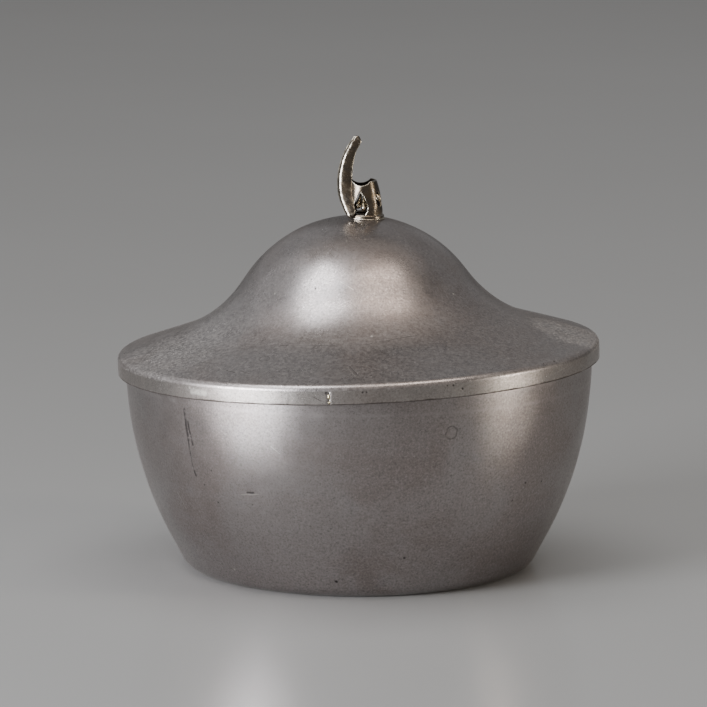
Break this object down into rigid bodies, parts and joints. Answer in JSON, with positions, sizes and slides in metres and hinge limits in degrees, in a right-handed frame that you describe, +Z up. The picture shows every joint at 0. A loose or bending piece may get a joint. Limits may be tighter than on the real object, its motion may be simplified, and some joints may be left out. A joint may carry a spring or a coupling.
{
  "type": "sugar bowl",
  "caption": "Round spun silver sugar bowl with a domed ogee lid that lifts off, a flat soldered edge band and a small leaf-and-berry finial.",
  "frame": {"origin": "centre of the bowl's flat underside, on the surface it stands on", "axes": "+Z up along the bowl's axis; +X towards the side where the lid stands proud of the rim, away from the finial's leaf; -Y towards the viewer"},
  "size_m": [0.1201, 0.12, 0.1083],
  "materials": {
    "bowl_silver": "worn satin silver, dull grey, fine scratches",
    "lid_silver": "worn satin silver with a dusting and light scratches",
    "finial_silver": "cast silver, tarnished in its recesses, worn bright on its edges",
    "berry_silver": "polished silver beads",
    "fixing_brass": "dull brass, hidden inside the lid"
  },
  "bodies": {
    "bowl": {"bowl_shell": "bowl_silver"},
    "lid_carrier": {"finial_washer": "fixing_brass"},
    "lid": {"lid_shell": "lid_silver", "lid_edge_band": "lid_silver", "finial_collar": "finial_silver", "finial_husk": "finial_silver", "finial_leaf": "finial_silver", "finial_berry_front_left": "berry_silver", "finial_berry_front_right": "berry_silver", "finial_berry_side": "berry_silver", "finial_berry_back_left": "berry_silver", "finial_berry_back_right": "berry_silver", "finial_stud": "fixing_brass", "finial_nut": "fixing_brass"}
  },
  "joints": [
    {"name": "lid_lift", "type": "slide", "parent": "bowl", "child": "lid_carrier", "axis": [0, 0, 1], "range_m": [0, 0.1]},
    {"name": "lid_turn", "type": "hinge", "parent": "lid_carrier", "child": "lid", "pos_m": [0, 0, 0.05075], "axis": [-0.0363, 0, 0.9993], "continuous": true}
  ]
}
